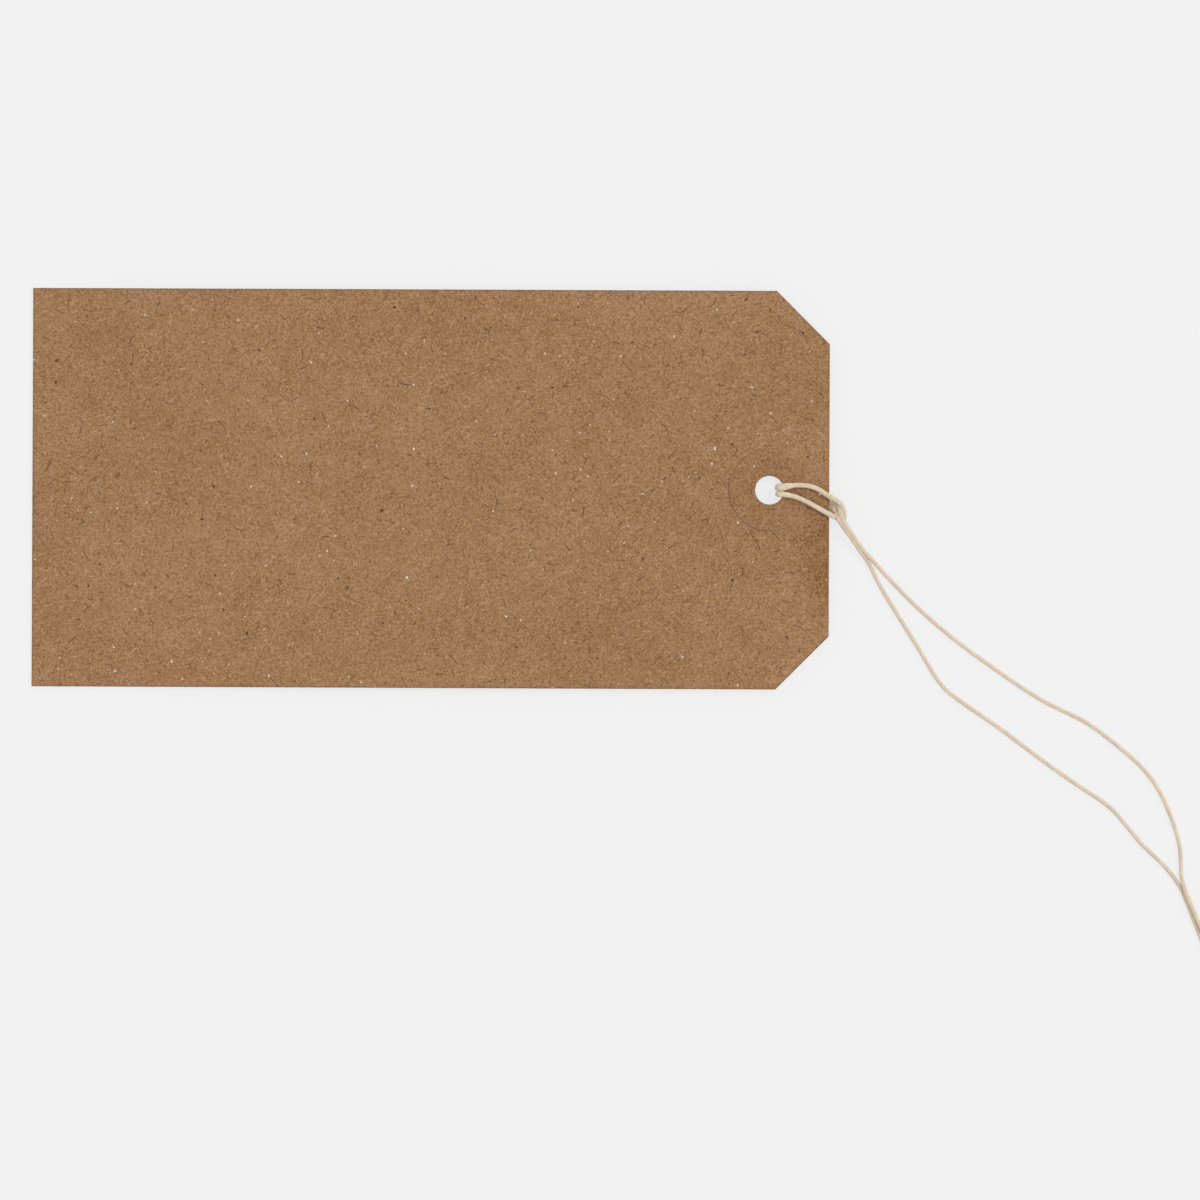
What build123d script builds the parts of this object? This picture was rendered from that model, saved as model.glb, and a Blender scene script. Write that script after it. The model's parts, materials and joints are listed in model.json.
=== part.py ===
from build123d import *
import os
from math import pi, radians, tan

# A strung tag lying face up. All sizes are in millimetres.
# The origin is the centre of the card. +X points to the string end, +Z out of the front face.

# Card
card_length = 120.0
card_width = 60.0
card_thickness = 0.45
corner_cut = 8.0

# Punched hole and the gummed paper washers round it, one on each face
hole_diameter = 4.3
hole_setback = 9.0
patch_diameter = 12.2
patch_thickness = 0.12
glue_thickness = 0.03

# String
string_diameter = 0.62
hitch_clearance = 0.09
arc_share = 0.45
throat_gap = 0.38
fork_gap = 0.03

# Knot that ties the two ends together: its length, and its radius at the ends,
# in the two grooves between its turns, on the outer turns and on the middle turn
knot_length = 3.0
knot_end_radius = 0.80
knot_groove_radius = 0.92
knot_shoulder_radius = 1.04
knot_radius = 1.10

# Places and levels worked out from the sizes
string_radius = string_diameter / 2
edge_x = card_length / 2
hole_x = edge_x - hole_setback
patch_top = card_thickness / 2 + glue_thickness + patch_thickness
front = patch_top + hitch_clearance + string_radius
rear = -front
surface = rear - string_radius
knot_level = surface + knot_radius

os.makedirs("parts", exist_ok=True)


def from_hole(dx, dy, z):
    """A point measured from the axis of the hole."""
    return Vector(hole_x + dx, dy, z)


def from_edge(dx, dy, z):
    """A point measured from the middle of the card's string end."""
    return Vector(edge_x + dx, dy, z)


def step_on(point, towards, distance):
    """The point that lies this far from one point in the direction of another."""
    return point + (towards - point).normalized() * distance


def corner_radii(points):
    """The arc at each inner point of a route, as large as its two runs allow."""
    radii = []
    for before, here, after in zip(points, points[1:], points[2:]):
        run_in = here - before
        run_out = after - here
        half_turn = radians(run_in.get_angle(run_out)) / 2
        radii.append(arc_share * min(run_in.length, run_out.length) / tan(half_turn))
    return radii


# The card: a rectangle with the two corners of the string end cut off, and the hole
with BuildPart() as tag_card:
    with BuildSketch(Plane.XY.offset(-card_thickness / 2)) as outline:
        Rectangle(card_length, card_width)
        chamfer(outline.vertices().group_by(Axis.X)[-1], corner_cut)
        with Locations((hole_x, 0)):
            Circle(hole_diameter / 2, mode=Mode.SUBTRACT)
    extrude(amount=card_thickness)
tag_card.part.label = "tag_card"
export_step(tag_card.part, "parts/tag_card.step")

# On each face a film of gum, and the paper washer that it holds. The hole was punched through all of them.
for face, outward in (("front", 1), ("rear", -1)):
    glue_level = outward * card_thickness / 2
    patch_level = glue_level + outward * glue_thickness

    with BuildPart() as patch_glue:
        with BuildSketch(Plane.XY.offset(glue_level)):
            with Locations((hole_x, 0)):
                Circle(patch_diameter / 2)
                Circle(hole_diameter / 2, mode=Mode.SUBTRACT)
        extrude(amount=outward * glue_thickness)
    patch_glue.part.label = f"{face}_patch_glue"
    export_step(patch_glue.part, f"parts/{face}_patch_glue.step")

    with BuildPart() as patch:
        with BuildSketch(Plane.XY.offset(patch_level)):
            with Locations((hole_x, 0)):
                Circle(patch_diameter / 2)
                Circle(hole_diameter / 2, mode=Mode.SUBTRACT)
        extrude(amount=outward * patch_thickness)
    patch.part.label = f"{face}_patch"
    export_step(patch.part, f"parts/{face}_patch.step")

# The cow hitch, from the upper strand of the neck to the lower one: under the card, up through the hole,
# over the front, round the bight past the card's end, back over the front, down the hole and under the card.
# The two strands of the neck climb through the bight and lie over its closed end.
over_bight = 0.74
in_bight = -0.24
past_edge = front - 0.10
below_edge = rear + 0.21
hitch_route = [
    from_edge(2.99, -4.74, over_bight),
    from_edge(2.42, -3.74, over_bight),
    from_edge(1.86, -2.86, 0.12),
    from_edge(1.05, -2.12, below_edge),
    from_edge(-0.05, -1.66, rear),
    from_hole(5.60, -0.45, rear),
    from_hole(1.35, 0.45, rear),
    from_hole(1.35, 0.45, front),
    from_hole(4.30, 0.98, front),
    from_hole(6.70, 0.78, front),
    from_edge(-0.40, -0.40, front),
    from_edge(1.50, -1.38, past_edge),
    from_edge(2.75, -2.25, 0.22),
    from_edge(3.02, -3.45, in_bight),
    from_edge(2.36, -4.36, in_bight),
    from_edge(1.32, -4.34, -0.06),
    from_edge(0.42, -3.88, past_edge),
    from_edge(-1.30, -2.90, front),
    from_hole(4.60, -1.15, front),
    from_hole(1.25, -0.62, front),
    from_hole(1.25, -0.62, rear),
    from_hole(5.20, -1.45, rear),
    from_edge(-0.25, -2.40, rear),
    from_edge(0.62, -2.80, below_edge),
    from_edge(1.26, -3.34, 0.04),
    from_edge(1.82, -4.14, over_bight),
    from_edge(2.39, -5.11, over_bight),
]

# The neck: the two strands lie side by side from the hitch down to the fork
fork_upper = from_edge(5.60, -9.01, rear)
fork_lower = from_edge(5.00, -9.38, rear)
neck_upper_route = [
    step_on(hitch_route[0], from_edge(3.51, -5.60, over_bight), string_diameter + throat_gap),
    from_edge(4.01, -6.41, 0.50),
    from_edge(4.92, -7.90, -0.64),
    fork_upper,
]
neck_lower_route = [
    step_on(hitch_route[-1], from_edge(2.91, -5.97, over_bight), string_diameter + throat_gap),
    from_edge(3.41, -6.78, 0.50),
    from_edge(4.32, -8.27, -0.64),
    fork_lower,
]

# The loop: two strands that part at the fork, meet again and run side by side up into the knot
knot_start = from_edge(61.30, -84.70, knot_level)
knot_heading = Vector(0.20, -0.98, 0).normalized()
knot_side = Vector(0.98, 0.20, 0).normalized() * 0.355
knot_end = knot_start + knot_heading * knot_length
loop_upper_corner = from_edge(6.95, -10.70, rear)
loop_upper_route = [
    step_on(fork_upper, loop_upper_corner, string_radius + fork_gap),
    loop_upper_corner,
    from_edge(9.40, -13.50, rear),
    from_edge(13.60, -17.80, rear),
    from_edge(19.00, -22.40, rear),
    from_edge(25.20, -26.90, rear),
    from_edge(31.40, -31.10, rear),
    from_edge(35.00, -32.90, rear),
    from_edge(38.90, -34.70, rear),
    from_edge(43.20, -38.00, rear),
    from_edge(47.40, -41.60, rear),
    from_edge(49.90, -45.00, rear),
    from_edge(51.50, -49.10, rear),
    from_edge(52.80, -53.00, rear),
    from_edge(52.95, -57.00, rear),
    from_edge(54.00, -60.60, rear),
    from_edge(55.30, -63.90, rear),
    from_edge(57.30, -69.20, rear),
    from_edge(59.30, -74.80, rear),
    from_edge(60.70, -79.60, rear),
    from_edge(61.08, -81.80, -0.50),
    knot_start + knot_side - knot_heading * 1.2,
    knot_start + knot_side,
]
loop_lower_corner = from_edge(6.20, -11.15, rear)
loop_lower_route = [
    step_on(fork_lower, loop_lower_corner, string_radius + fork_gap),
    loop_lower_corner,
    from_edge(7.60, -14.10, rear),
    from_edge(10.60, -19.00, rear),
    from_edge(13.70, -23.90, rear),
    from_edge(16.80, -29.35, rear),
    from_edge(20.60, -32.15, rear),
    from_edge(26.00, -35.80, rear),
    from_edge(32.00, -40.40, rear),
    from_edge(37.40, -44.20, rear),
    from_edge(42.40, -47.40, rear),
    from_edge(45.00, -50.50, rear),
    from_edge(47.80, -53.75, rear),
    from_edge(51.30, -57.20, rear),
    from_edge(53.25, -60.90, rear),
    from_edge(54.60, -64.20, rear),
    from_edge(56.60, -69.50, rear),
    from_edge(58.60, -75.05, rear),
    from_edge(60.00, -79.75, rear),
    from_edge(60.38, -81.95, -0.50),
    knot_start - knot_side - knot_heading * 1.2,
    knot_start - knot_side,
]

# The two short ends that are left beyond the knot
tail_upper_route = [
    knot_end + knot_side,
    knot_end + knot_side + knot_heading * 1.0,
    from_edge(62.95, -90.20, -0.50),
    from_edge(64.00, -92.60, rear),
    from_edge(64.90, -94.20, rear),
]
tail_lower_route = [
    knot_end - knot_side,
    knot_end - knot_side + knot_heading * 1.0,
    from_edge(61.90, -90.30, -0.50),
    from_edge(61.55, -92.40, rear),
    from_edge(61.10, -93.90, rear),
]

# Each stretch of string is one tube: its name, its route and the ends that are rounded to turn at a joint
string_stretches = [
    ("string_hitch", hitch_route, [hitch_route[0], hitch_route[-1]]),
    ("neck_strand_upper", neck_upper_route, [neck_upper_route[0], fork_upper]),
    ("neck_strand_lower", neck_lower_route, [neck_lower_route[0], fork_lower]),
    ("loop_strand_upper", loop_upper_route, []),
    ("loop_strand_lower", loop_lower_route, []),
    ("tail_upper", tail_upper_route, []),
    ("tail_lower", tail_lower_route, []),
]
string_length = 0.0
for name, points, round_ends in string_stretches:
    radii = corner_radii(points)
    with BuildPart() as strand:
        with BuildLine() as route:
            FilletPolyline(*points, radius=radii)
        with BuildSketch(Plane(route.line @ 0, z_dir=route.line % 0)):
            Circle(string_radius)
        sweep()
        tube_volume = strand.part.volume
        if round_ends:
            with Locations(*round_ends):
                Sphere(string_radius)
    strand.part.label = name
    export_step(strand.part, f"parts/{name}.step")
    length = sum(edge.length for edge in route.edges())
    string_length += length
    share = tube_volume / (pi * string_radius**2 * length)
    print(f"{name}: {length:.1f} mm, least radius {min(radii):.2f} mm, volume {share:.4f} of section times length")
print(f"string outside the knot: {string_length:.1f} mm")

# The knot: a small barrel of three turns, flat where the string goes in and comes out
groove_one = knot_length / 3
groove_two = knot_length * 2 / 3
with BuildPart() as end_knot:
    with BuildSketch(Plane(knot_start, x_dir=knot_heading, z_dir=(0, 0, 1))):
        with BuildLine():
            Line((0, 0), (0, knot_end_radius))
            ThreePointArc(
                (0, knot_end_radius), (groove_one / 2, knot_shoulder_radius), (groove_one, knot_groove_radius)
            )
            ThreePointArc(
                (groove_one, knot_groove_radius),
                (knot_length / 2, knot_radius),
                (groove_two, knot_groove_radius),
            )
            ThreePointArc(
                (groove_two, knot_groove_radius),
                (knot_length - groove_one / 2, knot_shoulder_radius),
                (knot_length, knot_end_radius),
            )
            Line((knot_length, knot_end_radius), (knot_length, 0))
            Line((knot_length, 0), (0, 0))
        make_face()
    revolve(axis=Axis(knot_start, knot_heading))
end_knot.part.label = "end_knot"
export_step(end_knot.part, "parts/end_knot.step")
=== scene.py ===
import json
import math
import random

import bpy
import numpy as np
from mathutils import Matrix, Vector, geometry, noise


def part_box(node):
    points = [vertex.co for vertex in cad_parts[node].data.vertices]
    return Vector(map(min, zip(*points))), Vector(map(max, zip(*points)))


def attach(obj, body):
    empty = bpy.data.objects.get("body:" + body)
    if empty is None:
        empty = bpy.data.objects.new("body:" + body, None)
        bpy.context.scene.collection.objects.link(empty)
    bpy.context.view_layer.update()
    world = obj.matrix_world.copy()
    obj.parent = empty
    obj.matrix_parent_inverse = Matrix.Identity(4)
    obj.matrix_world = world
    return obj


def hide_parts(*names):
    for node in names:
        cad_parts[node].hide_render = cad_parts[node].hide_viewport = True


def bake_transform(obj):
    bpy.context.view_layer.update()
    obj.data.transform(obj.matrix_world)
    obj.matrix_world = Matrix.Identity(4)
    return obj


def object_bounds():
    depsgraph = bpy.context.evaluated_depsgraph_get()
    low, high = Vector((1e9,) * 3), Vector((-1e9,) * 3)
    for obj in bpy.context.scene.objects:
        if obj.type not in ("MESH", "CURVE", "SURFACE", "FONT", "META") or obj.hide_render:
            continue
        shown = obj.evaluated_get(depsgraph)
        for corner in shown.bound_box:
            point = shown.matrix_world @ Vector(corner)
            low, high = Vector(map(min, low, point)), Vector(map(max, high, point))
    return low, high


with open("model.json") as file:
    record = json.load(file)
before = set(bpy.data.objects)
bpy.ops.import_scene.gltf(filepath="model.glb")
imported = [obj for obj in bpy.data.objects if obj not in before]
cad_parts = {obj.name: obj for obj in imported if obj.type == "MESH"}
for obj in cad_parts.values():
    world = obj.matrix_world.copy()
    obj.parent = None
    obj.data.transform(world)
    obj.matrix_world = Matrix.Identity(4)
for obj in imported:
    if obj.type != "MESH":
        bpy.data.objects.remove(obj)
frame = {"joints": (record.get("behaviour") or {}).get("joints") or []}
cad_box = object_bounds()

# A strung kraft tag, seen straight from above.
# Lengths are in millimetres, and MM turns them into the frame's metres.
MM = 0.001

# Places that the frame gives
card_low, card_high = (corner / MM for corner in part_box("tag_card"))
patch_low, patch_high = (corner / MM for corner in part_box("front_patch"))
glue_top = (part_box("front_patch_glue")[1] / MM).z
surface = cad_box[0].z / MM
edge_x = card_high.x
hole_x = (patch_low.x + patch_high.x) / 2
patch_radius = (patch_high.x - patch_low.x) / 2

# Card
corner_cut = 8.0
hole_radius = 2.15

# String: three plies laid together
ply_count = 3
string_radius = 0.31
ply_radius = 0.282
ply_offset = string_radius - ply_radius
lay_length = 2.5
string_step = 0.11
section_points = 24


def add_object(name, data):
    """A new object for this data, in the scene."""
    made = bpy.data.objects.new(name, data)
    bpy.context.scene.collection.objects.link(made)
    return made


# The camera

photo_pixels = 1200
pixels_per_mm = 6.645
view_width = photo_pixels / pixels_per_mm
view_middle = Vector((25.573, -16.639, 0.0))
view_turn = math.radians(0.25)
camera_lens = 180.0
sensor_width = 36.0


def make_camera():
    """A long lens that looks straight down, turned by a hair as in the photograph."""
    data = bpy.data.cameras.new("camera")
    data.lens = camera_lens
    data.sensor_width = sensor_width
    data.clip_start = 10.0 * MM
    data.clip_end = 50000.0 * MM
    camera = add_object("camera", data)
    height = card_high.z + view_width * camera_lens / sensor_width
    camera.location = Vector((view_middle.x, view_middle.y, height)) * MM
    camera.rotation_euler = (0.0, 0.0, view_turn)
    bpy.context.scene.camera = camera


make_camera()


# The string's route, from the knot to the hitch and back to the knot

front = 0.775
rear = -0.775
loop_drop = 0.46


def from_hole(dx, dy, z):
    """A point measured from the axis of the hole."""
    return Vector((hole_x + dx, dy, z))


def from_edge(dx, dy, z):
    """A point measured from the middle of the card's string end."""
    return Vector((edge_x + dx, dy, z))


def on_floor(dx, dy, z=rear):
    """A point of the loop, lowered a little and turned as the camera is, to follow the photograph."""
    place = from_edge(dx, dy - loop_drop, z)
    return Vector((place.x - place.y * view_turn, place.y + place.x * view_turn, z))


# The knot: in its core each strand lies nearer the middle, low on the way in and high on the way out
knot_level = 0.015
knot_length = 3.0
knot_start = from_edge(61.30, -84.70, knot_level)
knot_heading = Vector((0.20, -0.98, 0)).normalized()
knot_across = Vector((0.98, 0.20, 0)).normalized()
knot_end = knot_start + knot_heading * knot_length
knot_side = knot_across * 0.355
knot_way_in = knot_heading * 1.2
knot_way_out = knot_heading * 1.0
core_aside = 0.27
core_level = 0.26


def in_knot(along, across, up):
    """A point measured from the start of the knot."""
    return knot_start + knot_heading * along + knot_across * across + Vector((0.0, 0.0, up))


# The loop's sides: places from the card's end, and the level of those that lie higher than the rest
loop_upper_places = [
    (6.30, -10.05, -0.55), (7.15, -10.95), (9.40, -13.50), (13.60, -17.80), (19.00, -22.40), (25.20, -26.90),
    (31.40, -31.10), (35.00, -32.90), (38.90, -34.70), (43.20, -38.00), (47.40, -41.60), (49.95, -45.20),
    (51.65, -49.20), (52.85, -53.00), (53.05, -56.20), (53.02, -57.70, -0.62), (53.33, -59.30, -0.26),
    (54.02, -61.20, -0.24), (55.14, -63.70, -0.24), (56.34, -66.40, -0.30), (57.50, -69.30, -0.55),
]
loop_lower_places = [
    (5.72, -10.30), (6.30, -11.30), (7.60, -14.10), (10.60, -19.00), (13.70, -23.90), (16.80, -29.35),
    (20.60, -32.15), (26.00, -35.80), (32.00, -40.40), (37.40, -44.20), (42.40, -47.40), (45.00, -50.55),
    (47.45, -53.55), (49.95, -55.70), (51.90, -57.95), (53.06, -59.80), (53.96, -62.00), (55.34, -65.50),
    (56.80, -69.30),
]
loop_upper_route = [
    *(on_floor(*place) for place in loop_upper_places),
    from_edge(59.30, -74.80, rear),
    from_edge(60.70, -79.60, rear),
    from_edge(61.08, -81.80, -0.50),
    knot_start + knot_side - knot_way_in,
    knot_start + knot_side,
    in_knot(0.35, 0.30, -0.10),
    in_knot(0.90, core_aside, -core_level),
]
loop_lower_route = [
    *(on_floor(*place) for place in loop_lower_places),
    from_edge(58.60, -75.05, rear),
    from_edge(60.00, -79.75, rear),
    from_edge(60.38, -81.95, -0.50),
    knot_start - knot_side - knot_way_in,
    knot_start - knot_side,
    in_knot(0.35, -0.30, -0.10),
    in_knot(0.90, -core_aside, -core_level),
]
neck_upper_route = [
    from_edge(1.95, -4.32, 0.80), from_edge(2.63, -5.41, 0.74), from_edge(3.58, -6.75, 0.44),
    from_edge(4.53, -8.05, -0.04), from_edge(5.45, -9.34, -0.44),
]
neck_lower_route = [
    from_edge(1.58, -4.59, 0.68), from_edge(2.27, -5.66, 0.62), from_edge(3.22, -7.01, 0.32),
    from_edge(4.17, -8.31, -0.18), from_edge(5.08, -9.61, -0.60),
]
hitch_route = [
    from_edge(1.66, -3.36, 0.62), from_edge(1.50, -2.66, 0.20), from_edge(1.16, -2.22, -0.42),
    from_edge(0.60, -1.96, -0.60), from_edge(-0.20, -1.78, -0.68), from_hole(5.60, -0.45, rear),
    from_hole(1.35, 0.37, rear), from_hole(1.35, 0.37, front + 0.17), from_hole(2.40, 0.56, front + 0.17),
    from_hole(4.30, 0.84, front), from_hole(6.70, 0.58, front), from_edge(-0.35, -0.70, front),
    from_edge(0.95, -1.46, 0.72), from_edge(1.82, -2.05, 0.42), from_edge(2.22, -3.05, 0.00),
    from_edge(2.17, -4.35, -0.24), from_edge(1.45, -4.28, -0.20), from_edge(0.86, -3.95, 0.38),
    from_edge(0.10, -3.66, 0.74), from_edge(-0.80, -3.14, front), from_hole(4.60, -1.15, front),
    from_hole(2.40, -0.62, front), from_hole(1.26, -0.56, front), from_hole(1.26, -0.56, rear),
    from_hole(5.20, -1.45, rear), from_edge(-0.20, -2.48, -0.68), from_edge(0.50, -2.70, -0.58),
    from_edge(0.92, -3.06, -0.22), from_edge(1.08, -3.46, 0.22), from_edge(1.28, -3.98, 0.50),
]
string_route = [
    *reversed(loop_upper_route),
    *reversed(neck_upper_route),
    *hitch_route,
    *neck_lower_route,
    *loop_lower_route,
]
tail_upper_route = [
    in_knot(2.00, core_aside, core_level),
    in_knot(2.60, 0.30, 0.14),
    knot_end + knot_side,
    knot_end + knot_side + knot_way_out,
    from_edge(62.95, -90.20, -0.50),
    from_edge(64.00, -92.60, rear),
    from_edge(64.90, -94.20, rear),
]
tail_lower_route = [
    in_knot(2.00, -core_aside, core_level),
    in_knot(2.60, -0.30, 0.14),
    knot_end - knot_side,
    knot_end - knot_side + knot_way_out,
    from_edge(61.90, -90.30, -0.50),
    from_edge(61.55, -92.40, rear),
    from_edge(61.10, -93.90, rear),
]

# Each strand turns back over itself in a coil that binds both, and leaves through the middle of that coil
coil_radius = 0.80
coil_turns = 1.5
coil_points = 21
coil_start = 2.30
coil_end = 0.80
coil_spacing = 0.26


def knot_route(side):
    """The way of one strand through the knot; side is 1 for the upper strand and -1 for the lower."""
    aside = core_aside * side
    points = [
        in_knot(0.90, aside, -core_level),
        in_knot(1.80, aside, -core_level),
        in_knot(2.45, 0.25 * side, -core_level),
        in_knot(2.80, 0.16 * side, -0.48),
    ]
    for turn in np.linspace(0.0, 1.0, coil_points):
        angle = math.tau * coil_turns * turn - math.pi / 2
        along = coil_start + (coil_end - coil_start) * turn + coil_spacing * side
        points.append(in_knot(along, coil_radius * math.cos(angle), coil_radius * math.sin(angle)))
    points += [
        in_knot(0.34, 0.12 * side, 0.66),
        in_knot(0.22, 0.22 * side, 0.40),
        in_knot(0.60, aside, core_level),
        in_knot(1.30, aside, core_level),
        in_knot(2.00, aside, core_level),
    ]
    return points


# Reading a route as a smooth line


def spline_points(points):
    """The points of the smooth line that a route's points control."""
    curve = bpy.data.curves.new("route", "CURVE")
    curve.dimensions = "3D"
    spline = curve.splines.new("NURBS")
    spline.points.add(len(points) - 1)
    for control, place in zip(spline.points, points):
        control.co = (*place, 1.0)
    spline.order_u = 3
    spline.use_endpoint_u = True
    spline.resolution_u = 24
    holder = bpy.data.objects.new("route", curve)
    mesh = bpy.data.meshes.new_from_object(holder)
    line = np.array([vertex.co for vertex in mesh.vertices])
    bpy.data.objects.remove(holder)
    bpy.data.curves.remove(curve)
    bpy.data.meshes.remove(mesh)
    return line


def even_steps(line, step):
    """The same line with points at even distances, and how far along it each one is."""
    runs = np.linalg.norm(np.diff(line, axis=0), axis=1)
    along = np.concatenate([[0.0], np.cumsum(runs)])
    places = np.linspace(0.0, along[-1], int(along[-1] / step) + 1)
    points = np.stack([np.interp(places, along, line[:, axis]) for axis in range(3)], axis=1)
    return points, places


def unit(vector):
    """The vector's direction, with a length of 1."""
    return vector / np.linalg.norm(vector)


def carried_frames(points):
    """Two directions across the line at each point, carried along it without twist."""
    tangents = np.gradient(points, axis=0)
    tangents /= np.linalg.norm(tangents, axis=1)[:, None]
    across = unit(np.cross(tangents[0], (0.0, 0.0, 1.0)))
    normals = []
    for tangent in tangents:
        across = unit(across - tangent * (across @ tangent))
        normals.append(across)
    normals = np.array(normals)
    return normals, np.cross(tangents, normals)


# The string's mesh

# The yarn's unevenness, slow and quick: waves in a millimetre, how far they swing, and a seed
yarn_swings = [(0.22, 0.05, 0.0), (1.3, 0.035, 5.0)]

# The least gap that the string and its loose fibres leave over the floor
string_gap = 0.004
fibre_gap = 0.002


def smooth_rise(value, low, high):
    """0 below low, 1 above high, and a smooth rise between them."""
    share = np.clip((np.asarray(value, float) - low) / (high - low), 0.0, 1.0)
    return share * share * (3 - 2 * share)


def plied_section():
    """The angles round the string, and how far its plies reach at each."""
    angles = np.arange(section_points) * math.tau / section_points
    share = math.tau / ply_count
    from_crest = (angles + share / 2) % share - share / 2
    aside = ply_offset * np.sin(from_crest)
    reach = ply_offset * np.cos(from_crest) + np.sqrt(ply_radius**2 - aside**2)
    return angles, reach


def uneven(places, seed):
    """The yarn's own unevenness: a factor near 1 at each place along the string."""
    factor = 1.0
    for waves, swing, own_seed in yarn_swings:
        change = [noise.noise(Vector((place * waves, seed, own_seed))) for place in places]
        factor = factor + swing * np.array(change)
    return factor


def tube_rings(points, angles, reach, gap):
    """Rings of points round a line, kept off the floor by a gap."""
    normals, others = carried_frames(points)
    out = np.cos(angles)[..., None] * normals[:, None, :] + np.sin(angles)[..., None] * others[:, None, :]
    rings = points[:, None, :] + out * reach[..., None]
    rings[..., 2] = np.maximum(rings[..., 2], surface + gap)
    return rings


def string_rings(points, places, thickness):
    """The points of the plied string's surface, ring by ring."""
    angles, reach = plied_section()
    turn = math.tau * places / lay_length
    return tube_rings(points, angles + turn[:, None], reach * thickness[:, None], string_gap)


def thin_rings(points, radii, sides):
    """Rings of a plain thin tube along a few points."""
    angles = np.arange(sides) * math.tau / sides
    return tube_rings(points, angles[None, :], radii[:, None], fibre_gap)


def mesh_object(name, points, faces, material, smooth=None):
    """A mesh piece from points in millimetres, smooth all over or as told for each face."""
    mesh = bpy.data.meshes.new(name)
    mesh.from_pydata((np.asarray(points, float) * MM).tolist(), [], faces)
    mesh.polygons.foreach_set("use_smooth", smooth or [True] * len(faces))
    mesh.materials.append(material)
    mesh.update()
    return add_object(name, mesh)


def ring_edges(first, count):
    """The edges of a closed ring of points, by their numbers."""
    return [(first + k, first + (k + 1) % count) for k in range(count)]


class Tubes:
    """Closed tubes that make up one piece. The UV map runs along each tube, in millimetres, and round it."""

    def __init__(self):
        self.points = []
        self.faces = []
        self.uvs = []
        self.smooth = []

    def add(self, rings, places, rounds=1.0):
        """One tube through these rings, closed by flat ends; rounds is how often the UV map goes round it."""
        first = len(self.points)
        count = rings.shape[1]
        self.points += rings.reshape(-1, 3).tolist()
        for ring in range(len(rings) - 1):
            low, high = first + ring * count, first + (ring + 1) * count
            begin, end = places[ring], places[ring + 1]
            for k, after in ring_edges(0, count):
                here, there = k / count * rounds, (k + 1) / count * rounds
                self.faces.append((low + k, low + after, high + after, high + k))
                self.uvs += [begin, here, begin, there, end, there, end, here]
                self.smooth.append(True)
        for ring, order in ((0, -1), (len(rings) - 1, 1)):
            self.faces.append([first + ring * count + k for k in range(count)][::order])
            self.uvs += [places[ring], 0.0] * count
            self.smooth.append(False)

    def piece(self, name, material):
        """The tubes so far as one piece."""
        made = mesh_object(name, self.points, self.faces, material, self.smooth)
        layer = made.data.uv_layers.new(name="yarn")
        layer.data.foreach_set("uv", self.uvs)
        return made


# How far the hitch swings, and the room that the string leaves for the card's end on the way
swing_limits = [math.radians(limit) for limit in frame["joints"][0]["range_deg"]]
sweep_gap = 0.05
sweep_rise = 3.0
widest_bearing = math.radians(60)


def past_sweep(points):
    """How far each point lies beyond the reach of the card's end as the hitch swings."""
    distance = np.hypot(points[..., 0] - hole_x, points[..., 1])
    bearing = np.arctan2(points[..., 1], points[..., 0] - hole_x)
    widest = np.maximum(*(np.abs(bearing + limit) for limit in swing_limits))
    return distance - (edge_x - hole_x) / np.cos(np.minimum(widest, widest_bearing)) - sweep_gap


def meets_card(points):
    """Whether any of these points lies where the card is, or comes as the hitch swings."""
    level = np.abs(points[:, 2]) < card_high.z + sweep_gap
    in_card = np.hypot(points[:, 0] - hole_x, points[:, 1]) > hole_radius
    return bool((level & in_card & (past_sweep(points) < 0.0)).any())


# Loose fibres on the string
chance = random.Random(7)
fuzz_per_mm = 1.5
fuzz_radius = 0.011
fuzz_taper = 0.6
fuzz_root = 0.05
fuzz_arch = 1.4
fuzz_points = 4
fuzz_sides = 3
fuzz_margin = 4
heading_span = 3


def add_string(tubes, rings, points, places):
    """A stretch of string and its loose fibre ends, without those that the card would meet."""
    tubes.add(rings, places)
    wanted = int((places[-1] - places[0]) * fuzz_per_mm)
    steps = np.linspace(0.0, 1.0, fuzz_points)
    for _ in range(wanted):
        ring = chance.randrange(fuzz_margin, len(rings) - fuzz_margin)
        spot = rings[ring, chance.randrange(section_points)]
        out = unit(spot - points[ring])
        heading = unit(points[ring + heading_span] - points[ring - heading_span])
        heading *= chance.choice((-1, 1))
        curl = np.cross(out, heading) * chance.uniform(-0.5, 0.5)
        length = chance.uniform(0.35, 0.95)
        lift = chance.uniform(0.25, 0.6)
        root = spot - out * fuzz_root
        rises = [lift * length * step * (fuzz_arch - step) for step in steps]
        fibre = np.array([
            root + heading * length * step + out * rise + curl * length * step * step
            for step, rise in zip(steps, rises)
        ])
        if meets_card(fibre):
            continue
        radii = fuzz_radius * (1.0 - fuzz_taper * steps)
        tubes.add(thin_rings(fibre, radii, fuzz_sides), places[ring] + steps * length, 0.0)


# Materials


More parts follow.
